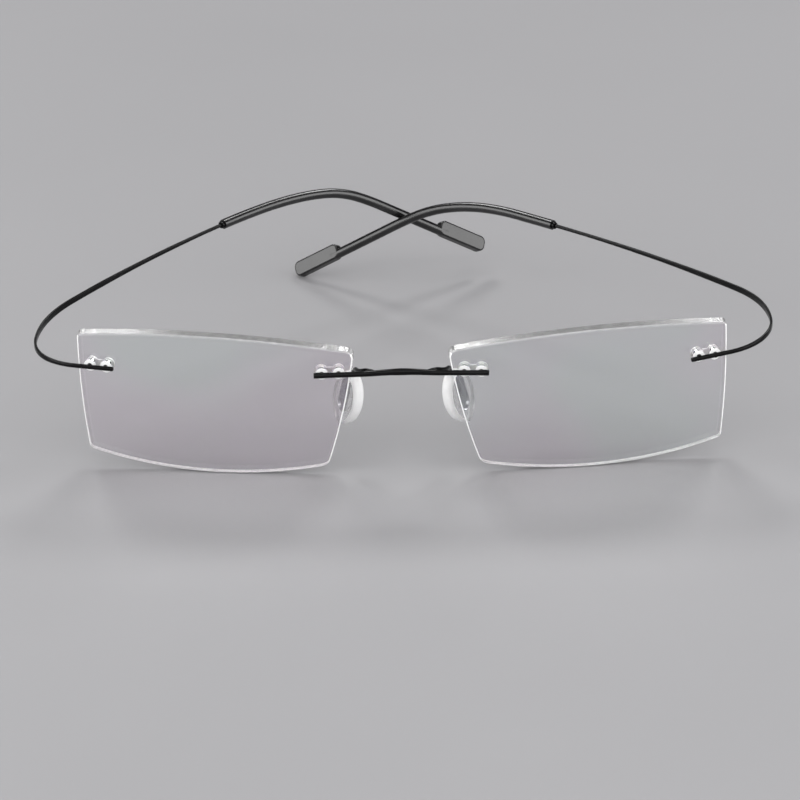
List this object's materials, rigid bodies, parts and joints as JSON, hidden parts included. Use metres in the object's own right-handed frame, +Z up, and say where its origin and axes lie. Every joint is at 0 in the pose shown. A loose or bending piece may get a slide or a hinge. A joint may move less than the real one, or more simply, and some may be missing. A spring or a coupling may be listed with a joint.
{
  "type": "rimless eyeglasses",
  "caption": "Rimless, hingeless eyeglasses: clear drilled lenses, round black bridge, silicone nose pads on wire arms, springy curled metal temples with rubber tips.",
  "frame": {"origin": "middle of the bounding box, on the floor plane that the lens bottoms and one temple tip stand on", "axes": "+X towards the wearer's left, +Y towards the back of the wearer's head, +Z up"},
  "size_m": [0.1406, 0.104, 0.0306],
  "materials": {
    "black_metal": "satin black coating",
    "lens": "polished clear lens with a faint anti-reflection tint",
    "clear_plug": "polished clear plastic",
    "pad_core": "polished clear plastic",
    "silicone": "water-clear silicone",
    "tip_sleeve": "smooth glossy black"
  },
  "bodies": {
    "frame": {"bridge": "black_metal", "left_lens": "lens", "left_nasal_bushing": "clear_plug", "left_temporal_bushing": "clear_plug", "left_nasal_pins": "black_metal", "left_temporal_pins": "black_metal", "left_pad_arm": "black_metal", "left_temple_bar": "black_metal", "right_lens": "lens", "right_nasal_bushing": "clear_plug", "right_temporal_bushing": "clear_plug", "right_nasal_pins": "black_metal", "right_temporal_pins": "black_metal", "right_pad_arm": "black_metal", "right_temple_bar": "black_metal"},
    "left_bend_1": {"left_temple_bend": "black_metal"},
    "left_bend_2": {"left_temple_ribbon": "black_metal"},
    "left_arm": {"left_temple_wire": "black_metal", "left_collar": "black_metal", "left_tip_sleeve": "tip_sleeve"},
    "left_pad": {"left_nose_pad": "silicone", "left_pad_core": "pad_core"},
    "right_bend_1": {"right_temple_bend": "black_metal"},
    "right_bend_2": {"right_temple_ribbon": "black_metal"},
    "right_arm": {"right_temple_wire": "black_metal", "right_collar": "black_metal", "right_tip_sleeve": "tip_sleeve"},
    "right_pad": {"right_nose_pad": "silicone", "right_pad_core": "pad_core"}
  },
  "joints": [
    {"name": "left_flex_1", "type": "hinge", "parent": "frame", "child": "left_bend_1", "pos_m": [0.06524, -0.04199, 0.02302], "axis": [-0.0192, -0.0133, -0.9997], "range_deg": [0, 15], "stiffness_Nm_per_rad": 0.12},
    {"name": "left_flex_2", "type": "hinge", "parent": "left_bend_1", "child": "left_bend_2", "pos_m": [0.07021, -0.03138, 0.02407], "axis": [0.0018, -0.0224, -0.9997], "range_deg": [0, 15], "stiffness_Nm_per_rad": 0.12},
    {"name": "left_flex_3", "type": "hinge", "parent": "left_bend_2", "child": "left_arm", "pos_m": [0.0643, -0.01661, 0.02427], "axis": [0.0896, -0.1183, -0.9889], "range_deg": [0, 15], "stiffness_Nm_per_rad": 0.12},
    {"name": "right_flex_1", "type": "hinge", "parent": "frame", "child": "right_bend_1", "pos_m": [-0.06514, -0.04199, 0.02235], "axis": [0.1052, -0.0724, 0.9918], "range_deg": [0, 15], "stiffness_Nm_per_rad": 0.12},
    {"name": "right_flex_2", "type": "hinge", "parent": "right_bend_1", "child": "right_bend_2", "pos_m": [-0.07022, -0.0314, 0.02274], "axis": [-0.0153, -0.2399, 0.9707], "range_deg": [0, 15], "stiffness_Nm_per_rad": 0.12},
    {"name": "right_flex_3", "type": "hinge", "parent": "right_bend_2", "child": "right_arm", "pos_m": [-0.06459, -0.01655, 0.02398], "axis": [-0.1109, -0.1529, 0.982], "range_deg": [0, 15], "stiffness_Nm_per_rad": 0.12},
    {"name": "left_pad_twist", "type": "hinge", "parent": "frame", "child": "left_pad", "pos_m": [0.01056, -0.04135, 0.01413], "axis": [-0.2108, -0.2273, 0.9507], "range_deg": [-10, 10]},
    {"name": "right_pad_twist", "type": "hinge", "parent": "frame", "child": "right_pad", "pos_m": [-0.01044, -0.04135, 0.01413], "axis": [0.2108, -0.2273, 0.9507], "range_deg": [-10, 10]}
  ],
  "couplings": [
    {"joint": "left_flex_2", "follows": "left_flex_1", "ratio": 1},
    {"joint": "left_flex_3", "follows": "left_flex_1", "ratio": 1},
    {"joint": "right_flex_1", "follows": "left_flex_1", "ratio": 1},
    {"joint": "right_flex_2", "follows": "left_flex_1", "ratio": 1},
    {"joint": "right_flex_3", "follows": "left_flex_1", "ratio": 1}
  ]
}
